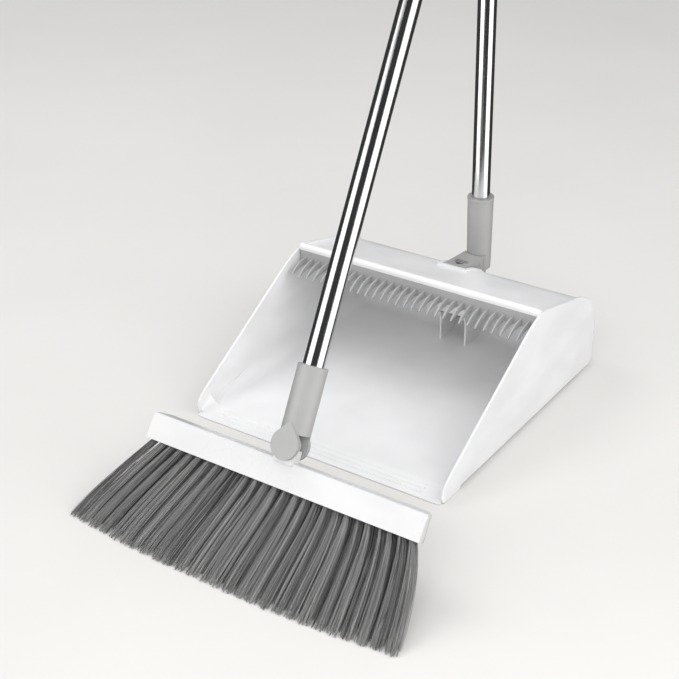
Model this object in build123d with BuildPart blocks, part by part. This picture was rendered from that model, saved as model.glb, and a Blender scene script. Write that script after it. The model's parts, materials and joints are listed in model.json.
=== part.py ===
from build123d import *
import os
from math import acos, cos, pi, radians, sin, sqrt

# A long-handled sweeping set: a deep, windproof dust pan with a hinged, latching handle, and an
# upright broom with a swivelling head that stands in front of the pan's lip.
# Millimetres. +X runs along the lip, +Y towards the back of the pan, +Z up. The origin is the
# middle of the flat strip under the lip, on the floor.

# ---- driving dimensions: pan ----
pan_width = 280.0
wall = 2.2  # thickness of every moulded wall of the pan
lip_front = -4.0  # front edge of the lip
ramp_end = 18.5  # the lip's ramp ends here
floor_lift = 3.0  # underside of the pan above the ground, behind the lip
back_y = 308.5  # back edge of the side walls
recess = 2.5  # how far the cover and back sit inside the side walls' edges
half_in = pan_width / 2 - wall  # half the clear width between the side walls
cove_r = 14.0  # rounding along the foot of the side walls
lip_corner = 6.0  # rounding of the lip's two corners, seen from above
foot_end = 29.0  # the side walls reach the ground from the lip to here
rim_front = 173.0  # front face of the cover's raised rim
rim_top = 119.2
rim_low = 112.8  # underside of the rim's front, where the comb strip starts
cover_slope = 0.236  # fall of the cover per millimetre towards the back
ridge_ys = (3.0, 8.2, 13.4)  # scraping ridges across the lip
ridge_half = 115.0

# ---- driving dimensions: hinge pocket, pin and latch ----
pocket_half = 14.0  # half the clear width between the pocket's cheeks
cheek = 2.0
boss_out = 1.5  # the pin bosses stand this far out of the cheeks
pocket_front = 253.5  # front face of the pocket's front wall
pocket_floor = 38.0
hinge_y, hinge_z = 292.5, 62.0
hinge_r = 2.5
fit_gap = 0.05  # radial running clearance on pins
latch_y, latch_z = 286.0, 85.0  # pivot of the latch pedal
latch_pin_r = 1.5
lug_half = 12.4  # half the width of the lug between the cheeks
lug_r = 8.8
web_half = 10.2  # half the width of the socket's forked front
latch_half = 7.8  # half the width of the space inside the forked front
latch_floor = 79.0  # foot of the space inside the forked front
spring_y = 273.0
pedal_front = 257.6

# ---- driving dimensions: comb ----
tooth_count = 30
tooth_pitch = 8.93
tooth_thick = 1.6
panel_low = 98.4  # lower edge of the strip's front, where the teeth spring from

# ---- driving dimensions: poles, sockets and grips ----
pole_r = 9.5
pole_wall = 0.6
plug_r = pole_r - pole_wall - 0.05
socket_bore_r = pole_r + 0.05
pole_lean = 2.0  # forward lean of the latched pan handle, degrees
pole_foot = (0.0, 311.0, 90.0)  # a point on the pan pole's axis
socket_foot = 14.0  # the pan socket's barrel starts this far below that point
socket_low_r = 12.7
socket_top_r = 13.7
pan_socket_len = 67.5
pan_insert = 46.0  # length of pole inside the pan socket
pan_split = 345.0  # where the two lengths of the pan pole join
pan_top = 712.0
grip_len = 112.0
grip_r = 13.4
eye_r = 4.0
eye_out_r = 9.5
eye_thick = 9.0
eye_up = 14.0  # centre of the eye above the cap's base
screw_r = 1.5
screw_head_r = 3.0
screw_slack = 0.05  # clearance round a screw's shank

# ---- driving dimensions: broom ----
head_lean = 31.0  # backward lean of the broom head, degrees
head_at = (52.5, -125.9, 57.0)  # underside of the block, below the swivel
block_len = 279.5
block_high = 23.5
block_wall = 2.2
block_front = -9.0  # front edge of the block's underside from the swivel plane
block_rear = 14.0  # rear edge of the block's underside from the swivel plane
block_inward = 2.5  # the block narrows by this on each side at its top
rear_corner = 18.0
plate_thick = 5.0
swivel_high = 37.0  # swivel axis above the underside of the block
swivel_rest = -2.0  # resting tilt of the broom pole towards -X, degrees
disc_r = 13.4
neck_r = 13.2  # radius of the fork's barrel
barrel_foot = 8.0  # the barrel starts this far above the swivel axis
tip_up = 20.0  # height of the cheek's pointed top above the swivel axis
slot_half = 6.6
slot_top = 10.0  # top of the slot above the swivel axis
fork_cheek = 3.8  # thickness of each cheek
fork_front = -13.5  # outer face of the front cheek from the pole's axis
fork_mid = fork_front + fork_cheek + slot_half
fork_back = fork_mid + slot_half + fork_cheek
tongue_half = 6.0
tongue_r = 6.8
tongue_foot = 9.5  # half the width of the tongue's foot
pin_skin = 1.6  # wall left in front of the swivel pin's blind end
swivel_r = 3.0
fork_len = 68.5
fork_insert = 44.0
broom_split = 410.0
broom_top = 662.0
tuft_columns, tuft_rows = 27, 4
tuft_pitch, row_pitch = 10.05, 5.0
row_centre = 2.5
tuft_r = 2.1
row_thick = 3.0
tip_front_y = -204.6  # where the front row's middle meets the ground
tip_pitch = 7.2
spread_left = 44.0  # the tips reach this far beyond the roots at the left end
spread_right = 21.0  # and this far at the right end

os.makedirs("parts", exist_ok=True)
parts = {}


def keep(part, label):
    """Label a finished piece and write it to its own file."""
    part.label = label
    parts[label] = part
    export_step(part, f"parts/{label}.step")


# Working planes: the pan pole, the broom head, and the broom pole, each with Z along its length.
lean = radians(pole_lean)
pan_pole = Plane(origin=pole_foot, x_dir=(1, 0, 0), z_dir=(0, -sin(lean), cos(lean)))
tilt = radians(head_lean)
head = Plane(origin=head_at, x_dir=(1, 0, 0), z_dir=(0, sin(tilt), cos(tilt)))
swing = radians(swivel_rest)
swivel_at = head.from_local_coords(Vector(0, 0, swivel_high))
pole_dir = head.z_dir * cos(swing) + head.x_dir * sin(swing)
broom_pole = Plane(origin=swivel_at, x_dir=head.x_dir * cos(swing) - head.z_dir * sin(swing), z_dir=pole_dir)


def side_plane(x):
    """Vertical plane across the pan at x, whose sketch axes are Y and Z."""
    return Plane(origin=(x, 0, 0), x_dir=(0, 1, 0), z_dir=(1, 0, 0))


# ---------------------------------------------------------------- pan shell
# Outline of the shell that the cover and the tray share, going over the back of the pan.
top_start = (184.0, 112.7)
top_end = (255.0, 112.7 - cover_slope * 71.0)
shoulder = (291.5, 77.6)
back_top = (back_y - recess, 35.0)


def shifted(point, normal, distance):
    """A point moved by a distance along a normal."""
    return (point[0] + normal[0] * distance, point[1] + normal[1] * distance)


slope_n = (cover_slope / sqrt(1 + cover_slope**2), 1 / sqrt(1 + cover_slope**2))
shoulder_n = (0.56, 0.83)


def over_the_back(inset):
    """Curve from the cover's flat to the upright back, moved inwards by inset."""
    return Spline(
        shifted(top_end, slope_n, -inset),
        shifted(shoulder, shoulder_n, -inset),
        shifted(back_top, (1, 0), -inset),
        tangents=[(1, -cover_slope), (0, -1)],
    )


def band_face(outer_inset, inner_inset):
    """Face between two insets of the shell, from the rim over the back to the pan's floor."""
    corner = 22.0
    start_o = shifted(top_start, slope_n, -outer_inset)
    start_i = shifted(top_start, slope_n, -inner_inset)
    yo, zo = back_y - recess - outer_inset, floor_lift + outer_inset
    yi, zi = back_y - recess - inner_inset, floor_lift + inner_inset
    with BuildLine() as outline:
        Line(start_o, shifted(top_end, slope_n, -outer_inset))
        over_the_back(outer_inset)
        Line((yo, back_top[1]), (yo, floor_lift + corner))
        RadiusArc((yo, floor_lift + corner), (back_y - recess - corner, zo), corner - outer_inset)
        Line((back_y - recess - corner, zo), (240, zo))
        Line((240, zo), (240, zi))
        Line((240, zi), (back_y - recess - corner, zi))
        RadiusArc((back_y - recess - corner, zi), (yi, floor_lift + corner), -(corner - inner_inset))
        Line((yi, floor_lift + corner), (yi, back_top[1]))
        over_the_back(inner_inset)
        Line(shifted(top_end, slope_n, -inner_inset), start_i)
        Line(start_i, start_o)
    make_face(outline.edges())


def cover_zone(mode=Mode.INTERSECT):
    """Region that belongs to the cover: above a seam square to the shell at the shoulder."""
    inner = shifted(shoulder, shoulder_n, -14.0)
    outer = shifted(shoulder, shoulder_n, 30.0)
    with BuildLine() as outline:
        Polyline(inner, outer, (outer[0], 140), (150, 140), (150, inner[1]), close=True)
    make_face(outline.edges(), mode=mode)


def tray_sheet():
    """Profile of the tray's lip, floor and back, up to the seam with the cover."""
    band_face(0, wall)
    cover_zone(Mode.SUBTRACT)
    with BuildLine() as outline:
        Polyline(
            (lip_front, 0),
            (6, 0),
            (18, floor_lift),
            (241, floor_lift),
            (241, floor_lift + wall),
            (ramp_end, floor_lift + wall),
            (lip_front, 1.0),
            close=True,
        )
    make_face(outline.edges())


def wall_face():
    """Outline of one side wall, seen from the side."""
    with BuildLine() as outline:
        Line((lip_front + 5, 0), (foot_end, 0))
        Line((foot_end, 0), (foot_end + 1.5, floor_lift))
        Line((foot_end + 1.5, floor_lift), (back_y - 5, floor_lift))
        RadiusArc((back_y - 5, floor_lift), (back_y, floor_lift + 5), -5)
        Line((back_y, floor_lift + 5), (back_y, back_top[1]))
        Spline(
            (back_y, back_top[1]),
            shifted(shoulder, shoulder_n, recess),
            shifted(top_end, slope_n, recess),
            tangents=[(0, 1), (-1, cover_slope)],
        )
        Line(shifted(top_end, slope_n, recess), (194, 113.0))
        Spline(
            (194, 113.0),
            (176, 114.2),
            (156, 107.4),
            (138, 97.4),
            tangents=[(-1, cover_slope), (-1, -0.6)],
        )
        Line((138, 97.4), (14, 24.6))
        Spline(
            (14, 24.6),
            (1.5, 15.0),
            (lip_front + 2, 7.0),
            (lip_front + 5, 0),
            tangents=[(-1, -0.6), (0.6, -1)],
        )
    make_face(outline.edges())


def cove_face(side, floor_z, radius):
    """Section of the rounding between a side wall and the floor; side is -1 on the left, 1 on the right."""
    x = side * half_in
    inner = x - side * radius
    with BuildLine() as outline:
        Line((x, floor_z + radius), (x + side, floor_z + radius))
        Line((x + side, floor_z + radius), (x + side, floor_z - 1))
        Line((x + side, floor_z - 1), (inner, floor_z - 1))
        Line((inner, floor_z - 1), (inner, floor_z))
        middle = (x - side * radius * (1 - sin(pi / 4)), floor_z + radius * (1 - cos(pi / 4)))
        ThreePointArc((inner, floor_z), middle, (x, floor_z + radius))
    make_face(outline.edges())


def lip_plan():
    """Outline of the tray seen from above, with its two front corners rounded."""
    half, corner = pan_width / 2, lip_corner
    off = corner * (1 - sin(pi / 4))
    with BuildLine() as outline:
        Line((corner - half, lip_front), (half - corner, lip_front))
        ThreePointArc((half - corner, lip_front), (half - off, lip_front + off), (half, lip_front + corner))
        Line((half, lip_front + corner), (half, back_y + 1))
        Line((half, back_y + 1), (-half, back_y + 1))
        Line((-half, back_y + 1), (-half, lip_front + corner))
        ThreePointArc((-half, lip_front + corner), (off - half, lip_front + off), (corner - half, lip_front))
    make_face(outline.edges())


def cheek_face():
    """Outline of one cheek of the hinge pocket, standing on the tray's floor."""
    with BuildLine() as outline:
        Line((260, floor_lift + 1), (back_y - recess - 1, floor_lift + 1))
        Line((back_y - recess - 1, floor_lift + 1), (back_y - recess - 1, back_top[1]))
        over_the_back(1.0)
        Line(shifted(top_end, slope_n, -1), (pocket_front, 95.4))
        Line((pocket_front, 95.4), (pocket_front, 46))
        Line((pocket_front, 46), (260, 30))
        Line((260, 30), (260, floor_lift + 1))
    make_face(outline.edges())


def liner_face():
    """Profile of the wall that closes the hinge pocket from the dust: front, curve and floor."""
    bend = 12.0
    with BuildLine() as outline:
        Line((pocket_front, 95.4), (pocket_front, pocket_floor + bend - 2))
        RadiusArc((pocket_front, pocket_floor + bend - 2), (pocket_front + bend, pocket_floor - 2), -bend)
        Line((pocket_front + bend, pocket_floor - 2), (back_y - recess - 1, pocket_floor - 2))
        Line((back_y - recess - 1, pocket_floor - 2), (back_y - recess - 1, pocket_floor))
        Line((back_y - recess - 1, pocket_floor), (pocket_front + bend, pocket_floor))
        RadiusArc((pocket_front + bend, pocket_floor), (pocket_front + 2, pocket_floor + bend - 2), bend - 2)
        Line((pocket_front + 2, pocket_floor + bend - 2), (pocket_front + 2, 95.4))
        Line((pocket_front + 2, 95.4), (pocket_front, 95.4))
    make_face(outline.edges())


def make_pan_tray():
    """Lip, floor, back, side walls and hinge pocket in one moulding."""
    with BuildPart() as tray:
        with BuildSketch(side_plane(-half_in)):
            tray_sheet()
        extrude(amount=2 * half_in)
        for x in (-pan_width / 2, half_in):
            with BuildSketch(side_plane(x)):
                wall_face()
            extrude(amount=wall)
        # soft inner corners along the foot of both side walls
        low = tray.edges().filter_by_position(Axis.X, -half_in - 0.01, half_in + 0.01)
        low = [e for e in low if abs(abs(e.center().X) - half_in) < 0.01]
        low = [e for e in low if 30 < e.center().Y < 298 and floor_lift + wall - 0.1 < e.center().Z < 20]
        fillet(low, cove_r)
        for side in (-1, 1):
            with BuildSketch(Plane.XZ.offset(-ramp_end)):
                cove_face(side, floor_lift + wall, cove_r)
            with BuildSketch(Plane.XZ.offset(-2)):
                cove_face(side, 2.0, cove_r / 3)
            loft()
        # thin ridges across the lip
        for y in ridge_ys:
            z = 1.0 + (y - lip_front) * 4.2 / 22.5
            with BuildSketch(side_plane(-ridge_half)):
                with Locations((y, z - 0.35)):
                    Circle(1.1)
            extrude(amount=2 * ridge_half)
        # rounded corners of the lip
        with BuildSketch(Plane.XY.offset(-1)):
            lip_plan()
        extrude(amount=140, mode=Mode.INTERSECT)
        # cheeks with pin bosses, and the liner between them
        for x in (-pocket_half - cheek, pocket_half):
            with BuildSketch(side_plane(x)):
                cheek_face()
            extrude(amount=cheek)
        for x in (-pocket_half - cheek - boss_out, pocket_half):
            with BuildSketch(side_plane(x)):
                with Locations((hinge_y, hinge_z)):
                    Circle(6.5)
            extrude(amount=cheek + boss_out)
        with BuildSketch(side_plane(-pocket_half)):
            liner_face()
        extrude(amount=2 * pocket_half)
        # room for the cover, the open back of the pocket, the latch window and the pin holes
        with BuildSketch(side_plane(-half_in)):
            band_face(0, wall)
            cover_zone()
        extrude(amount=2 * half_in, mode=Mode.SUBTRACT)
        with BuildSketch(Plane.XY.offset(pocket_floor)):
            with Locations((0, 290)):
                Rectangle(2 * pocket_half, 69)
        extrude(amount=90, mode=Mode.SUBTRACT)
        with BuildSketch(Plane.XZ.offset(-pocket_front - 3)):
            with Locations((0, 60.5)):
                RectangleRounded(13, 8, 1.5)
        extrude(amount=6, mode=Mode.SUBTRACT)
        with BuildSketch(side_plane(-25)):
            with Locations((hinge_y, hinge_z)):
                Circle(hinge_r + fit_gap)
        extrude(amount=50, mode=Mode.SUBTRACT)
    keep(tray.part, "pan_tray")


def make_pan_cover():
    """Sloping cover with its rolled front rim, side flanges and the beaded notch for the hinge."""
    length = 2 * half_in - 0.2
    flange = 1.8
    bead, bead_up = 3.4, 2.2
    bead_front = pocket_front + 2 - bead
    notch_front, notch_len = pocket_front + 2, 80.0
    rim_back, rim_inner, rim_seat = rim_front + 11.2, rim_front + 5.6, top_start[1] - 2.3
    rim_curl = ((rim_front, rim_top - 3.2), (rim_front + 3.6, rim_top), (rim_front + 7.4, rim_top - 2.6))
    with BuildPart() as cover:
        with BuildSketch(side_plane(-length / 2)):
            band_face(0, wall)
            cover_zone()
        extrude(amount=length)
        with BuildSketch(side_plane(-length / 2)):
            with BuildLine():
                Line((rim_front, rim_low), rim_curl[0])
                ThreePointArc(*rim_curl)
                Line(rim_curl[2], (rim_back, top_start[1]))
                Line((rim_back, top_start[1]), (rim_back, rim_seat))
                Line((rim_back, rim_seat), (rim_inner, rim_seat))
                Line((rim_inner, rim_seat), (rim_inner, rim_low))
                Line((rim_inner, rim_low), (rim_front, rim_low))
            make_face()
        extrude(amount=length)
        # flanges that clip inside the side walls
        for x in (-length / 2, length / 2 - flange):
            with BuildSketch(side_plane(x)):
                band_face(wall - 0.5, 9)
                cover_zone()
                with BuildLine():
                    Polyline((150, 60), (188, 60), (188, 125), (150, 125), close=True)
                make_face(mode=Mode.SUBTRACT)
            extrude(amount=flange)
        # raised bead round the notch, then the notch itself
        with BuildSketch(side_plane(-pocket_half - bead)):
            band_face(-bead_up, 1)
            cover_zone()
            with BuildLine():
                Polyline((150, 60), (bead_front, 60), (bead_front, 130), (150, 130), close=True)
            make_face(mode=Mode.SUBTRACT)
        extrude(amount=2 * (pocket_half + bead))
        with BuildSketch(Plane.XY.offset(pocket_floor)):
            with Locations((0, notch_front + notch_len / 2)):
                Rectangle(2 * pocket_half, notch_len)
        extrude(amount=90, mode=Mode.SUBTRACT)
    keep(cover.part, "pan_cover")


def make_comb_strip():
    """Strip under the rim with curved teeth that strip hair and fluff from the broom."""
    root_y = rim_front + 0.3
    root = (root_y + 0.5, panel_low)
    top = (root_y + 0.5, panel_low + 7.4)
    tip, tip_under = (147.6, 96.4), (148.6, 95.6)
    with BuildPart() as comb:
        with BuildSketch(side_plane(-half_in + 1.2)):
            with BuildLine():
                Polyline(
                    (root_y, panel_low),
                    (root_y + 2.0, panel_low - 0.4),
                    (root_y + 2.0, 108.0),
                    (root_y + 14.7, 105.6),
                    (root_y + 14.7, 107.6),
                    (root_y + 5.1, 109.6),
                    (root_y + 5.1, rim_low - 0.1),
                    (root_y, rim_low - 0.1),
                    close=True,
                )
            make_face()
        extrude(amount=2 * half_in - 2.4)
        first = -(tooth_count - 1) * tooth_pitch / 2
        for i in range(tooth_count):
            with BuildSketch(side_plane(first + i * tooth_pitch - tooth_thick / 2)):
                with BuildLine():
                    ThreePointArc(top, (160.5, 104.3), tip)
                    Line(tip, tip_under)
                    ThreePointArc(tip_under, (161.0, 98.6), root)
                    Line(root, top)
                make_face()
            extrude(amount=tooth_thick)
    keep(comb.part, "comb_strip")


def make_hinge_pin():
    """Headed steel pin through the pocket's cheeks and the socket's lug, and its retaining ring."""
    outer = pocket_half + cheek + boss_out
    with BuildPart() as pin:
        with BuildSketch(side_plane(-outer)):
            with Locations((hinge_y, hinge_z)):
                Circle(hinge_r)
        extrude(amount=2 * outer + 2.6)
        with BuildSketch(side_plane(-outer - 1.4)):
            with Locations((hinge_y, hinge_z)):
                Circle(4.2)
        extrude(amount=1.4)
        chamfer(pin.edges().sort_by(Axis.X)[-1], 0.5)
        with BuildSketch(side_plane(outer + 0.2)):
            with Locations((hinge_y, hinge_z)):
                Circle(hinge_r + 1)
                Circle(hinge_r - 0.5, mode=Mode.SUBTRACT)
        extrude(amount=0.9, mode=Mode.SUBTRACT)
    keep(pin.part, "hinge_pin")
    with BuildPart() as ring:
        with BuildSketch(side_plane(outer + 0.25)):
            with Locations((hinge_y, hinge_z)):
                Circle(4.4)
                Circle(hinge_r - 0.45, mode=Mode.SUBTRACT)
            with Locations((hinge_y, hinge_z - 4)):
                Rectangle(2.4, 8, mode=Mode.SUBTRACT)
        extrude(amount=0.8)
    keep(ring.part, "hinge_clip")


# ---------------------------------------------------------------- pan handle
def lug_face():
    """Side outline of the socket's lug: round about the hinge pin, forked to the front."""
    lug_back = (hinge_y + lug_r * cos(radians(25)), hinge_z - lug_r * sin(radians(25)))
    lug_front = (hinge_y - lug_r * cos(radians(25)), hinge_z - lug_r * sin(radians(25)))
    with BuildLine() as outline:
        Line((263.0, 75.5), (263.0, 88.0))
        Line((263.0, 88.0), (303.0, 89.8))
        Line((303.0, 89.8), (306.0, 100.0))
        Line((306.0, 100.0), (316.0, 100.0))
        Line((316.0, 100.0), (316.0, 82.0))
        Line((316.0, 82.0), lug_back)
        ThreePointArc(lug_back, (hinge_y, hinge_z - lug_r), lug_front)
        Line(lug_front, (278.0, 72.0))
        Line((278.0, 72.0), (263.0, 75.5))
    make_face(outline.edges())


def make_pan_socket():
    """Hinged socket: a tube that takes the pole, on a lug that turns in the pan's pocket."""
    with BuildPart() as socket:
        with BuildSketch(side_plane(-web_half)):
            lug_face()
        extrude(amount=2 * web_half)
        with BuildSketch(side_plane(-lug_half)):
            with Locations((hinge_y, hinge_z)):
                Circle(lug_r)
        extrude(amount=2 * lug_half)
        # tapered barrel round the pole with a plain collar at its mouth
        with BuildSketch(pan_pole.offset(-socket_foot)):
            Circle(socket_low_r)
        with BuildSketch(pan_pole.offset(pan_socket_len - 2.4)):
            Circle(socket_top_r)
        loft()
        with BuildSketch(pan_pole.offset(pan_socket_len - 2.4)):
            Circle(socket_top_r + 0.4)
        extrude(amount=2.4)
        fillet(socket.edges().sort_by(seat_axis(pan_pole))[-1], 0.7)
        # the barrel's foot is cut back so that it clears the pan when the handle folds down
        with BuildSketch(side_plane(-20)):
            with BuildLine():
                Polyline((316.0, 60), (316.0, 82.0), (325.0, 92.0), (340.0, 92.0), (340.0, 60), close=True)
            make_face()
        extrude(amount=40, mode=Mode.SUBTRACT)
        with BuildSketch(pan_pole.offset(pan_socket_len - pan_insert)):
            Circle(socket_bore_r)
        extrude(amount=pan_insert + 1, mode=Mode.SUBTRACT)
        # space for the latch, the two pin bores and the screw hole
        with BuildSketch(Plane.XY.offset(latch_floor)):
            with Locations((0, 277)):
                Rectangle(2 * latch_half, 30)
        extrude(amount=12.5, mode=Mode.SUBTRACT)
        for y, z, r in ((hinge_y, hinge_z, hinge_r + fit_gap), (latch_y, latch_z, latch_pin_r + 0.02)):
            with BuildSketch(side_plane(-20)):
                with Locations((y, z)):
                    Circle(r)
            extrude(amount=40, mode=Mode.SUBTRACT)
        screw_at = Plane(
            origin=pan_pole.from_local_coords(Vector(0, 14.5, pan_socket_len - 22)),
            x_dir=(1, 0, 0),
            z_dir=pan_pole.y_dir,
        )
        add(screw_seat(screw_at, 2.2), mode=Mode.SUBTRACT)
    keep(socket.part, "pan_socket")
    make_screw(screw_at.offset(-2.2), "pan_socket_screw")
    return screw_at


def screw_seat(surface, sink):
    """Shape of a screw hole with a sunk seat for the head, below a plane over the surface."""
    with BuildPart() as seat:
        with BuildSketch(surface):
            Circle(screw_r + screw_slack)
        extrude(amount=-6)
        with BuildSketch(surface):
            Circle(screw_head_r + 0.2)
        extrude(amount=-sink)
    return seat.part


def make_screw(seat, label):
    """Small pan-head screw with a cross recess; seat is the face under its head."""
    with BuildPart() as screw:
        with BuildSketch(seat):
            Circle(screw_head_r)
        extrude(amount=1.6)
        fillet(screw.edges().group_by(SortBy.LENGTH)[-1].sort_by(seat_axis(seat))[-1], 0.8)
        with BuildSketch(seat):
            Circle(screw_r)
        extrude(amount=-6.4)
        with BuildSketch(seat.offset(0.7)):
            Rectangle(3.4, 0.8)
            Rectangle(0.8, 3.4)
        extrude(amount=2, mode=Mode.SUBTRACT)
    keep(screw.part, label)


def seat_axis(seat):
    """Axis along a plane's normal."""
    return Axis(seat.origin, seat.z_dir)


def make_pole(base, prefix, foot, split, top, screw_at):
    """Two lengths of thin steel tube, the screw joint between them, the grip and the hanging cap."""
    collar = 4.0
    joint_len = 30.0
    stud_len = 20.0
    stud_r, thread_r, thread_pitch = 5.6, 6.2, 3.0
    ring_count, ring_pitch, ring_width = 7, 10.0, 2.4
    stopper = 26.0  # length of the cap's spigot inside the pole
    tubes = {"lower": (foot, split), "upper": (split + collar, top)}
    for name, (start, end) in tubes.items():
        with BuildPart() as tube:
            with BuildSketch(base.offset(start)):
                Circle(pole_r)
                Circle(pole_r - pole_wall, mode=Mode.SUBTRACT)
            extrude(amount=end - start)
            with BuildSketch(screw_at):
                Circle(screw_r + screw_slack)
            extrude(amount=-10, mode=Mode.SUBTRACT)
        keep(tube.part, f"{prefix}_pole_{name}")
    with BuildPart() as plug:
        with BuildSketch(base.offset(split - joint_len)):
            Circle(plug_r)
        extrude(amount=joint_len)
        with BuildSketch(base.offset(split)):
            Circle(pole_r + 0.6)
        extrude(amount=collar)
        with BuildSketch(base.offset(split + collar)):
            Circle(stud_r)
        extrude(amount=stud_len)
        for i in range(6):
            with BuildSketch(base.offset(split + collar + thread_pitch * (i + 0.5))):
                Circle(thread_r)
            extrude(amount=1.4)
        with BuildSketch(base.offset(split - joint_len)):
            Circle(6.5)
        extrude(amount=joint_len - 6, mode=Mode.SUBTRACT)
    keep(plug.part, f"{prefix}_pole_plug")
    with BuildPart() as nut:
        with BuildSketch(base.offset(split + collar)):
            Circle(plug_r)
            Circle(thread_r + fit_gap, mode=Mode.SUBTRACT)
        extrude(amount=joint_len)
    keep(nut.part, f"{prefix}_pole_nut")
    grip_start = top + 2 - grip_len
    with BuildPart() as grip:
        with BuildSketch(base.offset(grip_start)):
            Circle(grip_r - 1.6)
        with BuildSketch(base.offset(grip_start + 10)):
            Circle(grip_r)
        with BuildSketch(base.offset(grip_start + grip_len * 0.55)):
            Circle(grip_r - 0.9)
        with BuildSketch(base.offset(grip_start + grip_len)):
            Circle(grip_r)
        loft()
        for i in range(ring_count):
            with BuildSketch(base.offset(grip_start + 22 + i * ring_pitch)):
                Circle(grip_r + 2)
                Circle(grip_r - 1.5, mode=Mode.SUBTRACT)
            extrude(amount=ring_width, mode=Mode.SUBTRACT)
        with BuildSketch(base.offset(grip_start - 1)):
            Circle(socket_bore_r)
        extrude(amount=grip_len + 2, mode=Mode.SUBTRACT)
    keep(grip.part, f"{prefix}_grip")
    cap_base = top + 2.0
    with BuildPart() as cap:
        with BuildSketch(base.offset(cap_base - stopper)):
            Circle(plug_r)
        extrude(amount=stopper)
        with BuildSketch(base.offset(cap_base)):
            Circle(grip_r)
        extrude(amount=5)
        fillet(cap.edges().group_by(SortBy.LENGTH)[-1].sort_by(seat_axis(base))[-1], 2.5)
        eye_plane = Plane(
            origin=base.from_local_coords(Vector(0, -eye_thick / 2, cap_base + eye_up)),
            x_dir=base.x_dir,
            z_dir=base.y_dir,
        )
        with BuildSketch(eye_plane):
            Circle(eye_out_r)
            with Locations((0, 6.5)):
                Rectangle(2 * eye_out_r, 13)
            Circle(eye_r, mode=Mode.SUBTRACT)
        extrude(amount=eye_thick)
    keep(cap.part, f"{prefix}_hang_cap")


def make_latch():
    """Rocking pedal that locks the handle upright, its pin and its return spring."""
    skirt_in, skirt_out = 10.8, 12.4
    plate_rear = 304.5
    with BuildPart() as pedal:
        with BuildSketch(side_plane(-skirt_out)):
            with BuildLine():
                Polyline(
                    (pedal_front, 97.0), (plate_rear, 93.2), (plate_rear, 90.6), (pedal_front, 94.2), close=True
                )
            make_face()
        extrude(amount=2 * skirt_out)
        fillet(pedal.edges().filter_by(Axis.X).group_by(Axis.Y)[0].sort_by(Axis.Z)[-1], 1.2)
        for x in (-skirt_out, skirt_in):
            with BuildSketch(side_plane(x)):
                with BuildLine():
                    Polyline(
                        (pedal_front, 95.4), (plate_rear, 92.0), (plate_rear, 76.5), (300, 76.5), close=True
                    )
                make_face()
            extrude(amount=skirt_out - skirt_in)
            with BuildSketch(side_plane(x - 0.55 if x < 0 else x + 1.05)):
                for y, low in ((281.0, 86.0), (290.0, 82.0), (298.5, 78.0)):
                    with Locations((y, (low + 91) / 2)):
                        Rectangle(1.6, 91 - low)
            extrude(amount=1.1)
        # ears on the pivot pin, and the arm with its catch
        for x in (-7.4, 4.8):
            with BuildSketch(side_plane(x)):
                with Locations((latch_y, latch_z)):
                    Circle(4.2)
                with BuildLine():
                    y0, y1 = latch_y - 4.2, latch_y + 4.2
                    Polyline((y0, latch_z), (y1, latch_z), (y1, 92.5), (y0, 92.5), close=True)
                make_face()
            extrude(amount=2.6)
        with BuildSketch(side_plane(-5)):
            with BuildLine():
                Polyline((258.2, 95), (261.0, 95), (261.0, 58), (258.2, 58), close=True)
            make_face()
            with BuildLine():
                Polyline((256.4, 59.5), (258.4, 58.0), (258.4, 63.2), (256.4, 63.2), close=True)
            make_face()
        extrude(amount=10)
        # concave back edge round the socket, spring peg, pivot bore
        with BuildSketch(pan_pole.offset(-18)):
            Circle(socket_low_r + 0.9)
        extrude(amount=30, mode=Mode.SUBTRACT)
        with BuildSketch(Plane.XY.offset(90.8)):
            with Locations((0, spring_y)):
                Circle(1.9)
        extrude(amount=3)
        with BuildSketch(side_plane(-15)):
            with Locations((latch_y, latch_z)):
                Circle(latch_pin_r + fit_gap)
        extrude(amount=30, mode=Mode.SUBTRACT)
    keep(pedal.part, "latch_pedal")
    with BuildPart() as pin:
        with BuildSketch(side_plane(-web_half + 0.1)):
            with Locations((latch_y, latch_z)):
                Circle(latch_pin_r)
        extrude(amount=2 * web_half - 0.2)
    keep(pin.part, "latch_pin")
    coil_r, wire_r = 2.75, 0.35
    coil_foot = latch_floor + wire_r + 0.05
    with BuildPart() as spring:
        with BuildLine():
            Helix(pitch=2.1, height=12.4, radius=coil_r, center=(0, spring_y, coil_foot))
        with BuildSketch(Plane(origin=(coil_r, spring_y, coil_foot), x_dir=(1, 0, 0), z_dir=(0, 1, 0))):
            Circle(wire_r)
        sweep()
    keep(spring.part, "latch_spring")


# ---------------------------------------------------------------- broom head
def across_head(x):
    """Plane square to the block at x, whose sketch axes are the head's Y and Z."""
    return Plane(origin=head.from_local_coords(Vector(x, 0, 0)), x_dir=head.y_dir, z_dir=head.x_dir)


def block_face(inset):
    """Cross-section of the block, a little narrower at the top."""
    with BuildLine() as outline:
        Polyline(
            (block_front + inset, 0),
            (block_front + block_inward + inset, block_high - inset),
            (block_rear - block_inward - inset, block_high - inset),
            (block_rear - inset, 0),
            close=True,
        )
    make_face(outline.edges())


def block_plan(inset):
    """The block seen along the tufts, square at its front corners and well rounded at the rear ones."""
    front, rear = block_front - 3, block_rear - inset
    half = block_len / 2 - inset
    r = rear_corner - inset
    off = r * (1 - sin(pi / 4))
    with BuildLine() as outline:
        Line((-half, front), (half, front))
        Line((half, front), (half, rear - r))
        ThreePointArc((half, rear - r), (half - off, rear - off), (half - r, rear))
        Line((half - r, rear), (r - half, rear))
        ThreePointArc((r - half, rear), (off - half, rear - off), (-half, rear - r))
        Line((-half, rear - r), (-half, front))
    make_face(outline.edges())


def row_depth(row):
    """Place of a row of tufts across the block."""
    return row_centre + (row - (tuft_rows - 1) / 2) * row_pitch


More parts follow.
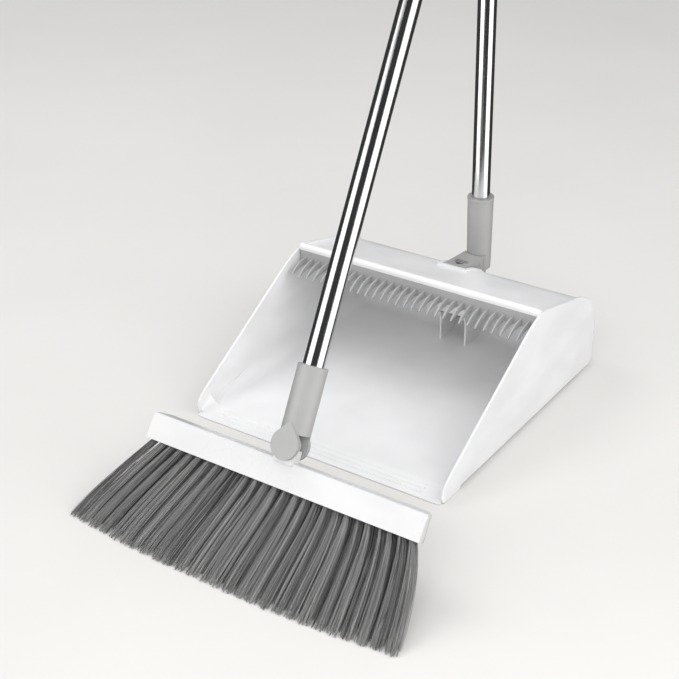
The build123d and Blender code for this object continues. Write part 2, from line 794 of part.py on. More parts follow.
def row_columns(row):
    """Number of tufts in a row: the two rear rows stop short of the rounded corners."""
    return tuft_columns - 2 if row >= tuft_rows / 2 else tuft_columns


def swivel_plane(offset):
    """Plane square to the swivel axis, offset along it, centred on the axis."""
    return Plane(
        origin=head.from_local_coords(Vector(0, offset, swivel_high)), x_dir=head.x_dir, z_dir=head.y_dir
    )


def make_brush_block():
    """Hollow white block with the tongue of the swivel on its top."""
    with BuildPart() as block:
        with BuildSketch(across_head(-block_len / 2)):
            block_face(0)
        extrude(amount=block_len)
        with BuildSketch(head.offset(-1)):
            block_plan(0)
        extrude(amount=block_high + 2, mode=Mode.INTERSECT)
        fillet(block.faces().sort_by(seat_axis(head))[-1].edges(), 1.5)
        with BuildPart(mode=Mode.SUBTRACT):
            with BuildSketch(across_head(-block_len / 2 + block_wall)):
                block_face(block_wall)
            extrude(amount=block_len - 2 * block_wall)
            with BuildSketch(head.offset(-1)):
                block_plan(block_wall)
            extrude(amount=block_high + 2, mode=Mode.INTERSECT)
        # tongue between the fork's cheeks, on a broader foot
        with BuildSketch(swivel_plane(fork_mid - tongue_half)):
            Circle(tongue_r)
            with Locations((0, 3)):
                Rectangle(2 * tongue_r, 6)
            with Locations((0, 9.5)):
                Rectangle(2 * tongue_foot, 13)
        extrude(amount=2 * tongue_half)
        for x in (-28.0, -14.0, 14.0, 28.0):
            with BuildSketch(across_head(x - 0.8)):
                block_face(1.0)
                with Locations((row_centre, plate_thick / 2)):
                    Rectangle(30, plate_thick + 0.8, mode=Mode.SUBTRACT)
            extrude(amount=1.6)
        # hollows that the cheeks turn in, and the pin's bore
        hollow = fork_cheek + slot_half - tongue_half + 0.95
        for y in (fork_front - 1, fork_mid + tongue_half + 0.05):
            with BuildSketch(swivel_plane(y)):
                Circle(disc_r + 0.5)
            extrude(amount=hollow, mode=Mode.SUBTRACT)
        with BuildSketch(swivel_plane(-20)):
            Circle(swivel_r + fit_gap)
        extrude(amount=40, mode=Mode.SUBTRACT)
    keep(block.part, "brush_block")


def make_tuft_plate():
    """Plate that closes the block and holds the tufts in rows of blind holes."""
    inner = block_wall + 0.1
    deep = block_rear - block_front - 2 * inner
    narrowing = 2 * plate_thick * block_inward / block_high + 0.1
    with BuildPart() as plate:
        with BuildSketch(head.offset(0.4)):
            with Locations((0, row_centre)):
                Rectangle(block_len - 2 * inner, deep)
        with BuildSketch(head.offset(0.4 + plate_thick)):
            with Locations((0, row_centre)):
                Rectangle(block_len - 2 * inner, deep - narrowing)
        loft()
        with BuildSketch(head):
            block_plan(inner)
        extrude(amount=plate_thick + 1, mode=Mode.INTERSECT)
        with BuildSketch(head.offset(0.3)):
            for row in range(tuft_rows):
                with Locations((0, row_depth(row))):
                    with GridLocations(tuft_pitch, 1, row_columns(row), 1):
                        Circle(tuft_r)
        extrude(amount=plate_thick - 0.9, mode=Mode.SUBTRACT)
    keep(plate.part, "tuft_plate")


def make_bristle_rows():
    """Each row of tufts as one curved slab, bent forward against the ground and spread sideways."""
    bend = 26.0
    tip_lean = radians(50)
    root_z = 56.0  # the sideways spread starts at this height
    for row in range(tuft_rows):
        half_row = (row_columns(row) - 1) / 2 * tuft_pitch + tuft_r
        left, right = head_at[0] - half_row, head_at[0] + half_row
        root = head.from_local_coords(Vector(0, row_depth(row), 0.3))
        tip_y = tip_front_y + row * tip_pitch
        half = row_thick / 2
        ry, rz = half * cos(tilt), half * sin(tilt)
        ty, tz = half * cos(tip_lean), half * sin(tip_lean)
        with BuildPart() as slab:
            with BuildSketch(side_plane(left - 60)):
                with BuildLine():
                    for s in (-1, 1):
                        a = (root.Y + s * ry, root.Z - s * rz)
                        b = (tip_y + s * ty, 0 - s * tz)
                        Bezier(
                            a,
                            (a[0] - bend * sin(tilt), a[1] - bend * cos(tilt)),
                            (b[0] + bend * sin(tip_lean), b[1] + bend * cos(tip_lean)),
                            b,
                        )
                    Line((root.Y - ry, root.Z + rz), (root.Y + ry, root.Z - rz))
                    Line((tip_y - ty, tz), (tip_y + ty, -tz))
                make_face()
            extrude(amount=right - left + 2 * 60)
            with BuildSketch(Plane.XZ.offset(300)):
                with BuildLine():
                    Line((left, root_z + 8), (right, root_z + 8))
                    Line((right, root_z + 8), (right, root_z))
                    Spline(
                        (right, root_z),
                        (right + 0.62 * spread_right, root_z / 2),
                        (right + spread_right, 0),
                        tangents=[(0.45, -1), (0.15, -1)],
                    )
                    Line((right + spread_right, 0), (left - spread_left, 0))
                    Spline(
                        (left - spread_left, 0),
                        (left - 0.57 * spread_left, root_z / 2),
                        (left, root_z),
                        tangents=[(0.6, 1), (0.9, 1)],
                    )
                    Line((left, root_z), (left, root_z + 8))
                make_face()
            extrude(amount=-300, mode=Mode.INTERSECT)
        keep(slab.part, f"bristle_row_{row + 1}")


# ---------------------------------------------------------------- broom handle
def make_broom_socket():
    """Forked socket: two round cheeks that straddle the tongue, and a barrel for the pole."""
    fork_side = Plane(origin=broom_pole.origin, x_dir=broom_pole.x_dir, z_dir=broom_pole.y_dir)
    with BuildPart() as fork:
        with BuildSketch(broom_pole.offset(barrel_foot)):
            Circle(neck_r)
        extrude(amount=fork_len - barrel_foot)
        fillet(fork.edges().sort_by(seat_axis(broom_pole))[-1], 0.8)
        with BuildSketch(fork_side.offset(fork_front)):
            Circle(disc_r)
            with BuildLine():
                touch = acos(disc_r / tip_up)
                side, low = disc_r * sin(touch), -disc_r * cos(touch)
                Polyline((-side, low), (side, low), (1.2, -tip_up + 1), (-1.2, -tip_up + 1), close=True)
            make_face()
        extrude(amount=fork_back - fork_front)
        with BuildSketch(fork_side.offset(fork_mid - slot_half)):
            with Locations((0, 10 - slot_top / 2)):
                Rectangle(40, 20 + slot_top)
        extrude(amount=2 * slot_half, mode=Mode.SUBTRACT)
        with BuildSketch(broom_pole.offset(fork_len - fork_insert)):
            Circle(socket_bore_r)
        extrude(amount=fork_insert + 1, mode=Mode.SUBTRACT)
        with BuildSketch(fork_side.offset(fork_front + pin_skin)):
            Circle(swivel_r + 0.03)
        extrude(amount=fork_back - fork_front, mode=Mode.SUBTRACT)
        screw_at = Plane(
            origin=broom_pole.from_local_coords(Vector(0, neck_r + 0.6, fork_len - 20)),
            x_dir=broom_pole.x_dir,
            z_dir=broom_pole.y_dir,
        )
        add(screw_seat(screw_at, 1.8), mode=Mode.SUBTRACT)
    keep(fork.part, "broom_socket")
    make_screw(screw_at.offset(-1.8), "broom_socket_screw")
    return screw_at


def make_swivel():
    """Shoulder pin through the fork and tongue, with a friction washer on each side."""
    with BuildPart() as pin:
        with BuildSketch(swivel_plane(fork_front + pin_skin + 0.2)):
            Circle(swivel_r)
        extrude(amount=fork_back - fork_front - pin_skin - 0.2)
        with BuildSketch(swivel_plane(fork_back)):
            Circle(5.4)
        extrude(amount=1.5)
        fillet(pin.edges().sort_by(seat_axis(swivel_plane(0)))[-1], 0.9)
        with BuildSketch(swivel_plane(fork_back + 0.7)):
            Rectangle(5.2, 1.1)
            Rectangle(1.1, 5.2)
        extrude(amount=2, mode=Mode.SUBTRACT)
    keep(pin.part, "swivel_pin")
    with BuildPart() as washers:
        for y in (fork_mid - tongue_half - 0.55, fork_mid + tongue_half + 0.05):
            with BuildSketch(swivel_plane(y)):
                Circle(tongue_r - 0.4)
                Circle(swivel_r + 0.1, mode=Mode.SUBTRACT)
            extrude(amount=0.5)
    keep(washers.part, "swivel_washers")


make_pan_tray()
make_pan_cover()
make_comb_strip()
make_hinge_pin()
pan_screw = make_pan_socket()
make_pole(pan_pole, "pan", pan_socket_len - pan_insert, pan_split, pan_top, pan_screw)
make_latch()
make_brush_block()
make_tuft_plate()
make_bristle_rows()
broom_screw = make_broom_socket()
make_swivel()
make_pole(broom_pole, "broom", fork_len - fork_insert, broom_split, broom_top, broom_screw)
print(len(parts), "pieces written")
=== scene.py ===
"""Looks of the dust pan and brush set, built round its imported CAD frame. Lengths are in metres."""
import json
import math

import bpy
import numpy as np
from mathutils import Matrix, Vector


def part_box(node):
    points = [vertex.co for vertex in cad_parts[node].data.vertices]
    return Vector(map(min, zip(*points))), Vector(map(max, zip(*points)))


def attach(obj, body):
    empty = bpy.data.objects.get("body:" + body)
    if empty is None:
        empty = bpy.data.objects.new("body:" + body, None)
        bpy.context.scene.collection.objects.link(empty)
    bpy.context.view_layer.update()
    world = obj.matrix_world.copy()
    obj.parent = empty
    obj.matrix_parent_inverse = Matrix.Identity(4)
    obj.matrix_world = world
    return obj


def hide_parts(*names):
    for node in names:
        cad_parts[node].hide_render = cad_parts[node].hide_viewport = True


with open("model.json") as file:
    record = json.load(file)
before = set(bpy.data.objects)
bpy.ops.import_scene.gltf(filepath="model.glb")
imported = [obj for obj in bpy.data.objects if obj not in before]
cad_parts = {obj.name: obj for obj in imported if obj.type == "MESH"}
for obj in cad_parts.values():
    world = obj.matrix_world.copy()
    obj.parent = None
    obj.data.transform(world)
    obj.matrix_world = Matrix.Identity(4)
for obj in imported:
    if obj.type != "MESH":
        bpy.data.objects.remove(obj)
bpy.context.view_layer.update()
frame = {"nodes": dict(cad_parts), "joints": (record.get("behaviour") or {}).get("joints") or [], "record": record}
scene = bpy.context.scene

MM = 0.001

# ---------------------------------------------------------------- driving dimensions
# camera
CAMERA_AT = Vector((0.6337, -0.9043, 0.7220))
CAMERA_AIM = Vector((-0.0451, 0.1097, 0.0622))
CAMERA_LENS = 74.1

# lights
KEY_WATTS = 13.0
LEFT_WATTS = 8.5
RIGHT_WATTS = 22.0
FILL_WATTS = 10.0
SHEEN_WATTS = 34.0
KEY_AT = (-1.3, 0.0, 2.1)
KEY_SIZE = (1.2, 1.2)
FILL_AT = (0.75, -1.25, 0.9)
FILL_AIM = (0.0, 0.15, 0.0)
FILL_SIZE = (1.2, 0.9)
LIGHT_AIM = Vector((0.0, 0.1, 0.25))
SIDE_LIFT = Vector((0.0, 0.1, 1.25))
SIDE_AWAY = 1.9
SIDE_SIZE = (1.9, 1.9)
SHEEN_NEARER = 0.95
SHEEN_SIZE = (1.8, 3.2)
SURROUND_STRENGTH = 0.66
SURROUND_IN_GLOSS = 0.05  # how strong the surroundings look in gloss

# floor
FLOOR_HALF = 30.0
FLOOR_GAP = 0.2 * MM

# tufts: rows from front to back, with their number of tufts
TUFT_COLUMNS = (27, 27, 25, 25)
TUFT_PITCH = 10.05 * MM
ROW_PITCH = 5.0 * MM
ROW_CENTRE = 2.5 * MM
TUFT_R = 2.0 * MM
SWIVEL_HIGH = 37.0 * MM
SWIVEL_REST = math.radians(-2.0)
PAN_POLE_LEAN = math.radians(2.0)
HOLE_DEPTH = 3.0 * MM
ROOT_BEND = 26.0 * MM
TIP_BEND = 26.0 * MM
TIP_LEAN = math.radians(50)
END_SWEEP = 10.0 * MM  # the line of tips curves back by this much at both ends

# how a tuft opens towards its tips
TIP_INSET = 1.0 * MM
SWEEP_POWER = 2.5
FLARE_SHARE = 0.955
FLARE_POWER = 1.25
OPEN_POWER = 1.7
STRAND_SPREAD = (3.3, 1.6)
LOOSE_DEPTH = 0.8
STRAND_SCATTER = (0.6 * MM, 0.25 * MM)
FILAMENT_SCATTER = 0.22 * MM
FIRST_SEED = 40

# filaments in each tuft
FILAMENTS = 64
STRANDS = 13  # the filaments of a tuft draw together into this many strands
FILAMENT_R = 0.24 * MM
FILAMENT_SIDES = 3
FILAMENT_STEPS = 8


# ---------------------------------------------------------------- material helpers
class Paint:
    """A new node material, with its Principled shader and short calls that add nodes to it."""

    def __init__(self, name):
        self.material = bpy.data.materials.new(name)
        self.material.use_nodes = True
        self.tree = self.material.node_tree
        self.tree.nodes.clear()
        output = self.tree.nodes.new("ShaderNodeOutputMaterial")
        self.shader = self.tree.nodes.new("ShaderNodeBsdfPrincipled")
        self.join(self.shader.outputs["BSDF"], output.inputs["Surface"])

    def join(self, source, target):
        """Links an output to an input."""
        self.tree.links.new(source, target)

    def place(self, stretch=(1, 1, 1)):
        """Place on the object in metres, optionally stretched along an axis."""
        coords = self.tree.nodes.new("ShaderNodeTexCoord")
        mapping = self.tree.nodes.new("ShaderNodeMapping")
        mapping.inputs["Scale"].default_value = stretch
        self.join(coords.outputs["Object"], mapping.inputs["Vector"])
        return mapping.outputs["Vector"]

    def noise(self, where, scale, detail=3.0, roughness=0.5):
        """Noise from about 0 to 1, at a scale in cycles per metre."""
        made = self.tree.nodes.new("ShaderNodeTexNoise")
        made.inputs["Scale"].default_value = scale
        made.inputs["Detail"].default_value = detail
        made.inputs["Roughness"].default_value = roughness
        self.join(where, made.inputs["Vector"])
        return made.outputs["Fac"]

    def spread(self, value, low, high, out_low=0.0, out_high=1.0):
        """The value from low to high, mapped smoothly to out_low to out_high and held there."""
        made = self.tree.nodes.new("ShaderNodeMapRange")
        made.interpolation_type = "SMOOTHSTEP"
        for name, number in zip(("From Min", "From Max", "To Min", "To Max"), (low, high, out_low, out_high)):
            made.inputs[name].default_value = number
        self.join(value, made.inputs["Value"])
        return made.outputs["Result"]

    def sum(self, kind, a, b):
        """Arithmetic on two outputs, or on an output and a number."""
        made = self.tree.nodes.new("ShaderNodeMath")
        made.operation = kind
        for value, socket in zip((a, b), made.inputs):
            if isinstance(value, (int, float)):
                socket.default_value = value
            else:
                self.join(value, socket)
        return made.outputs["Value"]

    def blend(self, amount, a, b):
        """Colour between a and b; each is a grey or colour tuple, or an output."""
        made = self.tree.nodes.new("ShaderNodeMix")
        made.data_type = "RGBA"
        self.join(amount, made.inputs["Factor"])
        for value, name in ((a, "A"), (b, "B")):
            socket = [s for s in made.inputs if s.name == name and s.type == "RGBA"][0]
            if isinstance(value, tuple):
                socket.default_value = (*value, 1.0)
            else:
                self.join(value, socket)
        return [s for s in made.outputs if s.type == "RGBA"][0]

    def bump(self, height, distance, strength=1.0, normal=None):
        """Normal bumped by a height, whose full range is the distance in metres."""
        made = self.tree.nodes.new("ShaderNodeBump")
        made.inputs["Strength"].default_value = strength
        made.inputs["Distance"].default_value = distance
        self.join(height, made.inputs["Height"])
        if normal is not None:
            self.join(normal, made.inputs["Normal"])
        return made.outputs["Normal"]

    def rounded(self, radius):
        """Normal with every sharp edge rounded, and how close a point is to such an edge."""
        bevel = self.tree.nodes.new("ShaderNodeBevel")
        bevel.samples = 4
        bevel.inputs["Radius"].default_value = radius
        geometry = self.tree.nodes.new("ShaderNodeNewGeometry")
        dot = self.tree.nodes.new("ShaderNodeVectorMath")
        dot.operation = "DOT_PRODUCT"
        self.join(bevel.outputs["Normal"], dot.inputs[0])
        self.join(geometry.outputs["Normal"], dot.inputs[1])
        return bevel.outputs["Normal"], self.spread(dot.outputs["Value"], 0.995, 0.93)


def scaled(colour, factor):
    """The colour made lighter or darker."""
    return tuple(min(1.0, c * factor) for c in colour)


def moulded(name, colour, roughness, grain=0.004 * MM, scuffs=(1.0, 1.0, 1.0), wear=1.1, round_r=0.45 * MM):
    """Moulded plastic: even colour with faint flow marks, fine grain, fine scuffs and rubbed edges."""
    paint = Paint(name)
    flow = paint.noise(paint.place((1.0, 1.0, 2.2)), 14.0, 2.0)
    speck = paint.noise(paint.place(), 900.0, 2.0)
    base = paint.blend(paint.spread(flow, 0.3, 0.7), scaled(colour, 0.955), scaled(colour, 1.025))
    base = paint.blend(paint.spread(speck, 0.60, 0.75, 0.0, 0.35), base, scaled(colour, 0.93))
    normal, edge = paint.rounded(round_r)
    rub = paint.noise(paint.place(), 120.0)
    rubbed = paint.sum("MULTIPLY", edge, paint.spread(rub, 0.4, 0.62, 0.15, 0.8))
    base = paint.blend(rubbed, base, scaled(colour, wear))
    # fine scuffs, stretched one way
    scratch = paint.noise(paint.place(scuffs), 260.0, 4.0, 0.65)
    patch = paint.noise(paint.place(), 22.0)
    scuffed = paint.sum("MULTIPLY", paint.spread(scratch, 0.60, 0.68), paint.spread(patch, 0.46, 0.66))
    base = paint.blend(paint.sum("MULTIPLY", scuffed, 0.35), base, scaled(colour, 0.88))
    paint.join(base, paint.shader.inputs["Base Color"])
    haze = paint.spread(paint.noise(paint.place(), 35.0, 4.0), 0.3, 0.7, roughness - 0.05, roughness + 0.07)
    rough = paint.sum("ADD", haze, paint.sum("MULTIPLY", scuffed, 0.22))
    paint.join(rough, paint.shader.inputs["Roughness"])
    grained = paint.bump(paint.noise(paint.place(), 2600.0, 2.0), grain, 1.0, normal)
    waved = paint.bump(paint.noise(paint.place(), 30.0, 1.0), 0.05 * MM, 1.0, grained)
    paint.join(paint.bump(scuffed, 0.012 * MM, 0.6, waved), paint.shader.inputs["Normal"])
    paint.shader.inputs["IOR"].default_value = 1.49
    return paint.material


def polished_tube(name, axis):
    """Polished thin steel tube: fine rings left by the polishing belt, faint smears, long highlights."""
    paint = Paint(name)
    cloud = paint.noise(paint.place((1.0, 1.0, 0.35)), 40.0, 4.0)
    base = paint.blend(paint.spread(cloud, 0.3, 0.7), (0.66, 0.66, 0.665), (0.76, 0.76, 0.765))
    paint.join(base, paint.shader.inputs["Base Color"])
    rings = paint.noise(paint.place((0.4, 0.4, 40.0)), 60.0, 3.0, 0.7)
    smear = paint.noise(paint.place((1.0, 1.0, 0.5)), 90.0, 4.0, 0.6)
    smeared = paint.spread(smear, 0.45, 0.7, 0.13, 0.19)
    rough = paint.sum("ADD", smeared, paint.spread(rings, 0.4, 0.7, 0.0, 0.03))
    paint.join(rough, paint.shader.inputs["Roughness"])
    paint.shader.inputs["Metallic"].default_value = 1.0
    paint.shader.inputs["Anisotropic"].default_value = 0.9
    along = paint.tree.nodes.new("ShaderNodeCombineXYZ")
    for socket, number in zip(along.inputs, axis):
        socket.default_value = number
    paint.join(along.outputs["Vector"], paint.shader.inputs["Tangent"])
    paint.join(paint.bump(rings, 0.002 * MM), paint.shader.inputs["Normal"])
    return paint.material


def turned_steel(name):
    """Plain turned steel of pins, screws, rings and springs, with fine tool lines."""
    paint = Paint(name)
    stain = paint.noise(paint.place(), 300.0, 4.0)
    base = paint.blend(paint.spread(stain, 0.35, 0.7), (0.52, 0.52, 0.53), (0.36, 0.36, 0.37))
    normal, edge = paint.rounded(0.2 * MM)
    base = paint.blend(paint.sum("MULTIPLY", edge, 0.5), base, (0.75, 0.75, 0.75))
    paint.join(base, paint.shader.inputs["Base Color"])
    lines = paint.noise(paint.place((60.0, 1.0, 1.0)), 60.0, 2.0)
    paint.join(paint.spread(lines, 0.3, 0.7, 0.26, 0.42), paint.shader.inputs["Roughness"])
    paint.shader.inputs["Metallic"].default_value = 1.0
    paint.join(paint.bump(lines, 0.004 * MM, 1.0, normal), paint.shader.inputs["Normal"])
    return paint.material


def soft_grip(name, colour):
    """Soft-touch rubber of the grips: matt and finely pebbled, with its edges painted lighter as a painted sheen
    where hands rub it.
    """
    paint = Paint(name)
    cloud = paint.noise(paint.place(), 45.0, 4.0)
    base = paint.blend(paint.spread(cloud, 0.3, 0.7), scaled(colour, 0.86), scaled(colour, 1.06))
    normal, edge = paint.rounded(0.5 * MM)
    # painted sheen: the colour is made lighter along every edge
    base = paint.blend(paint.sum("MULTIPLY", edge, 0.6), base, scaled(colour, 1.28))
    paint.join(base, paint.shader.inputs["Base Color"])
    paint.join(paint.spread(cloud, 0.35, 0.65, 0.52, 0.74), paint.shader.inputs["Roughness"])
    pebble = paint.tree.nodes.new("ShaderNodeTexVoronoi")
    pebble.inputs["Scale"].default_value = 1500.0
    paint.join(paint.place(), pebble.inputs["Vector"])
    paint.join(paint.bump(pebble.outputs["Distance"], 0.06 * MM, 0.8, normal), paint.shader.inputs["Normal"])
    return paint.material


def filament_paint(name):
    """Grey polyester filament: its shade differs a little from one to the next, the outer filaments of each tuft
    carry a painted shade of the tuft as a bundle, and its ends are paler.
    """
    paint = Paint(name)
    shade = paint.tree.nodes.new("ShaderNodeAttribute")
    shade.attribute_name = "shade"
    along = paint.tree.nodes.new("ShaderNodeAttribute")
    along.attribute_name = "along"
    # the shade attribute holds random tone plus painted shade that darkens the outer filaments of each tuft
    base = paint.blend(shade.outputs["Fac"], (0.03, 0.03, 0.031), (0.52, 0.518, 0.512))
    base = paint.blend(paint.spread(along.outputs["Fac"], 0.93, 1.0, 0.0, 0.3), base, (0.36, 0.36, 0.355))
    dust = paint.noise(paint.place(), 700.0, 3.0)
    base = paint.blend(paint.spread(dust, 0.58, 0.75, 0.0, 0.25), base, (0.38, 0.38, 0.375))
    paint.join(base, paint.shader.inputs["Base Color"])
    paint.join(paint.spread(dust, 0.3, 0.7, 0.28, 0.42), paint.shader.inputs["Roughness"])
    paint.shader.inputs["Sheen Weight"].default_value = 0.12
    paint.shader.inputs["Sheen Roughness"].default_value = 0.4
    return paint.material


def floor_paint(name):
    """Plain pale floor with a faint unevenness."""
    paint = Paint(name)
    cloud = paint.noise(paint.place(), 3.0, 3.0)
    base = paint.blend(paint.spread(cloud, 0.3, 0.7), (0.71, 0.70, 0.68), (0.73, 0.72, 0.70))
    paint.join(base, paint.shader.inputs["Base Color"])
    paint.shader.inputs["Roughness"].default_value = 0.9
    paint.shader.inputs["Specular IOR Level"].default_value = 0.0
    return paint.material


# ---------------------------------------------------------------- bristles
joints = {joint["name"]: joint for joint in frame["joints"]}
swivel = joints["head_swivel"]
head_y = Vector(swivel["axis"]).normalized()
head_x = Vector((1, 0, 0))
head_z = head_x.cross(head_y)
block_foot = Vector(swivel["pos_m"]) - head_z * SWIVEL_HIGH


def tuft_disc(count, radius, rng):
    """Points spread evenly over a disc, with a little scatter."""
    index = np.arange(count) + 0.5
    r = radius * np.sqrt(index / count)
    turn = index * math.pi * (3 - math.sqrt(5)) + rng.uniform(0, 2 * math.pi)
    disc = np.stack([r * np.cos(turn), r * np.sin(turn)], axis=1)
    return disc + rng.normal(0, 0.08 * MM, disc.shape)


def row_filaments(row, rng):
    """Centre lines of one row's filaments, from root to tip, (filaments, points, 3), and their shades."""
    slab_low, slab_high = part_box(f"bristle_row_{row + 1}")
    columns = TUFT_COLUMNS[row]
    depth = ROW_CENTRE + (row - (len(TUFT_COLUMNS) - 1) / 2) * ROW_PITCH
    tip_y = slab_low.y + TIP_INSET
    half_span = (columns - 1) / 2 * TUFT_PITCH
    left_edge = block_foot.x - half_span
    flare_left = slab_low.x - left_edge
    flare_right = slab_high.x - (block_foot.x + half_span)
    t = np.linspace(0, 1, FILAMENT_STEPS + 1)[None, :, None]
    lines, shades = [], []
    for column in range(columns):
        share = column / (columns - 1)
        disc = tuft_disc(FILAMENTS, TUFT_R, rng)
        across = (column - (columns - 1) / 2) * TUFT_PITCH
        root = np.array(block_foot + head_x * across + head_y * depth + head_z * HOLE_DEPTH)
        root = root + disc[:, :1] * np.array(head_x) + disc[:, 1:] * np.array(head_y)
        centres = tuft_disc(STRANDS, TUFT_R * 0.85, rng)
        strand = np.linalg.norm(disc[:, None] - centres[None], axis=2).argmin(axis=1)
        held = centres[strand]
        # tips: the tuft spreads as it goes down and parts into strands, which end a little unevenly
        flare = flare_left * (1 - share) + flare_right * share
        flare = flare * FLARE_SHARE + rng.normal(0, 0.5 * MM)
        sweep = END_SWEEP * abs(2 * share - 1) ** SWEEP_POWER
        clump_y = sweep + rng.normal(0, 0.3 * MM)
        scatter = rng.normal(0, FILAMENT_SCATTER, (FILAMENTS, 2))
        scatter += rng.normal(0, STRAND_SCATTER, (STRANDS, 2))[strand]
        spread = held * np.array(STRAND_SPREAD)
        loose = disc - held
        tip = np.empty((FILAMENTS, 3))
        tip[:, 0] = block_foot.x + across + flare + spread[:, 0] + loose[:, 0] + scatter[:, 0]
        tip[:, 1] = tip_y + clump_y + spread[:, 1] + loose[:, 1] * LOOSE_DEPTH + scatter[:, 1]
        tip[:, 2] = 0.4 * MM + np.abs(rng.normal(0, 0.3 * MM, FILAMENTS))
        # side view: a cubic curve that leaves the hole square to the block and leans forward at the floor
        lean = TIP_LEAN + rng.normal(0, 0.06, (FILAMENTS, 1))
        root_out = -np.array(head_z) * (ROOT_BEND + rng.normal(0, 1.5 * MM, (FILAMENTS, 1)))
        tip_back = np.concatenate([np.zeros_like(lean), np.sin(lean), np.cos(lean)], axis=1) * TIP_BEND
        p0, p3 = root[:, None, :], tip[:, None, :]
        p1, p2 = (root + root_out)[:, None, :], (tip + tip_back)[:, None, :]
        line = (1 - t) ** 3 * p0 + 3 * (1 - t) ** 2 * t * p1 + 3 * (1 - t) * t**2 * p2 + t**3 * p3
        # front view: the tufts lean apart towards both ends, and each one opens soon after its hole
        drop = np.clip(1 - (line[:, :, 2] / root[:, None, 2]), 0, 1)
        opened = tip[:, None, 0] - root[:, None, 0] - flare
        leaning = flare * (1 - (1 - drop) ** FLARE_POWER)
        opening = opened * (1 - (1 - drop) ** OPEN_POWER)
        line[:, :, 0] = root[:, None, 0] + leaning + opening
        line[:, :, 0] += rng.normal(0, 0.5 * MM, (FILAMENTS, 1)) * np.sin(np.pi * t[:, :, 0])
        lines.append(line)
        # painted shade: filaments further out in a tuft are darker, standing in for the shade of the tuft as a
        # bundle; the strand and filament terms are random tone
        bundle_shade_mask = (np.linalg.norm(disc, axis=1) / TUFT_R) ** 2
        shade = 0.68 - 0.30 * bundle_shade_mask + rng.normal(0, 0.17, STRANDS)[strand] + rng.normal(0, 0.17, FILAMENTS)
        shades.append(np.clip(shade, 0, 1))
    return np.concatenate(lines), np.concatenate(shades)


def filament_mesh(name, lines, shades):
    """Thin tapering tubes with closed ends along the centre lines, with a shade for each."""
    count, points = lines.shape[:2]
    sides = FILAMENT_SIDES
    ahead = np.gradient(lines, axis=1)
    ahead /= np.linalg.norm(ahead, axis=2, keepdims=True)
    side = np.cross(ahead, np.array((1.0, 0.0, 0.0)))
    side /= np.linalg.norm(side, axis=2, keepdims=True)
    other = np.cross(ahead, side)
    along = np.linspace(0, 1, points)
    taper = FILAMENT_R * (1 - 0.30 * along)[None, :, None]
    angles = np.arange(sides) * 2 * math.pi / sides
    rings = [lines + taper * (math.cos(a) * side + math.sin(a) * other) for a in angles]
    verts = np.stack(rings, axis=2).reshape(-1, 3)
    verts[:, 2] = np.maximum(verts[:, 2], 0.1 * MM)
    first = (np.arange(count)[:, None, None] * points + np.arange(points - 1)[None, :, None]) * sides
    here = first + np.arange(sides)[None, None, :]
    beside = first + (np.arange(sides)[None, None, :] + 1) % sides
    walls = np.stack([here, beside, beside + sides, here + sides], axis=3).reshape(-1, 4)
    start = np.arange(count)[:, None] * points * sides
    roots = start + np.arange(sides)[::-1][None, :]
    tips = start + (points - 1) * sides + np.arange(sides)[None, :]
    faces = walls.tolist() + roots.tolist() + tips.tolist()
    mesh = bpy.data.meshes.new(name)
    mesh.from_pydata(verts.tolist(), [], faces)
    mesh.update()
    mesh.shade_smooth()
    shade = np.repeat(shades, points * sides)
    mesh.attributes.new("shade", "FLOAT", "POINT").data.foreach_set("value", shade.astype(np.float32))
    down = np.tile(np.repeat(along, sides), count)
    mesh.attributes.new("along", "FLOAT", "POINT").data.foreach_set("value", down.astype(np.float32))
    return mesh


def make_bristles(material):
    """One piece for each row of tufts, made of separate filaments."""
    for row in range(len(TUFT_COLUMNS)):
        rng = np.random.default_rng(FIRST_SEED + row)
        name = f"filaments_{row + 1}"
        piece = bpy.data.objects.new(name, filament_mesh(name, *row_filaments(row, rng)))
        scene.collection.objects.link(piece)
        piece.data.materials.append(material)
        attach(piece, "broom_head")
        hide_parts(f"bristle_row_{row + 1}")


# ---------------------------------------------------------------- pedal mark
def make_pedal_mark(material):
    """Plain press mark printed on the pedal: two bars and a wedge that points to the pedal's front."""
    low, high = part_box("latch_pedal")
    plate_front = Vector((0, low.y + 1.2 * MM, high.z))
    slope = Vector((0, 46.9, -3.8)).normalized()
    up = Vector((1, 0, 0)).cross(slope)
    thick = 0.12 * MM
    outlines = (
        [(-7.5, 17.0), (7.5, 17.0), (7.5, 18.6), (-7.5, 18.6)],
        [(-7.5, 13.4), (7.5, 13.4), (7.5, 15.0), (-7.5, 15.0)],
        [(-6.0, 11.4), (0.0, 5.6), (6.0, 11.4)],
    )
    verts, faces = [], []
    for outline in outlines:
        start = len(verts)
        n = len(outline)
        for height in (-0.3 * MM, thick):
            level = plate_front + up * height
            verts += [level + Vector((x * MM, 0, 0)) + slope * (d * MM) for x, d in outline]
        faces.append(list(range(start + n - 1, start - 1, -1)))
        faces.append(list(range(start + n, start + 2 * n)))
        for i in range(n):
            j = (i + 1) % n
            faces.append([start + i, start + j, start + n + j, start + n + i])
    mesh = bpy.data.meshes.new("pedal_mark")
    mesh.from_pydata([tuple(v) for v in verts], [], faces)
    mesh.validate()
    mesh.materials.append(material)
    piece = bpy.data.objects.new("pedal_mark", mesh)
    scene.collection.objects.link(piece)
    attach(piece, "latch")


# ---------------------------------------------------------------- finishes of the CAD nodes
def dress(node, material):
    """Gives a CAD node its finish."""
    shown = frame["nodes"][node]
    shown.data.materials.clear()
    shown.data.materials.append(material)


